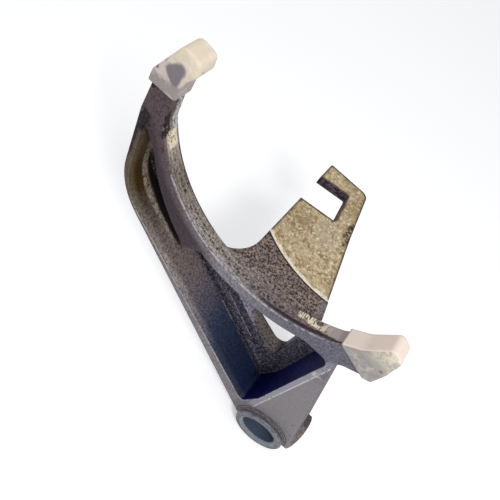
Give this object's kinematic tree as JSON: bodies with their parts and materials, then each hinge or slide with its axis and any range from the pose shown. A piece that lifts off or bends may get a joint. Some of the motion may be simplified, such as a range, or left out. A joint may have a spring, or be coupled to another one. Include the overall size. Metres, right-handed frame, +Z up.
{
  "type": "shift fork",
  "caption": "Gearbox shift fork: C-shaped casting with nylon-tipped arms, a hub bored for the rail, a deep pocket with a window, and a flat tab ending in a hook.",
  "frame": {"origin": "on the rail bore's axis, where the chamfer of its front mouth ends, 0.9 mm behind the hub's front face", "axes": "X across the fork towards the roll pin boss, +Y along the rail from the hub's front face towards the hook, +Z up towards the open side of the C"},
  "size_m": [0.1081, 0.0707, 0.137],
  "materials": {
    "casting": "sand-cast, with machined faces on the hub and the tab, worn bright where the arms touch",
    "pad": "natural nylon, slightly stained"
  },
  "bodies": {
    "root": {"fork_casting": "casting", "left_pad": "pad", "right_pad": "pad"}
  },
  "joints": []
}
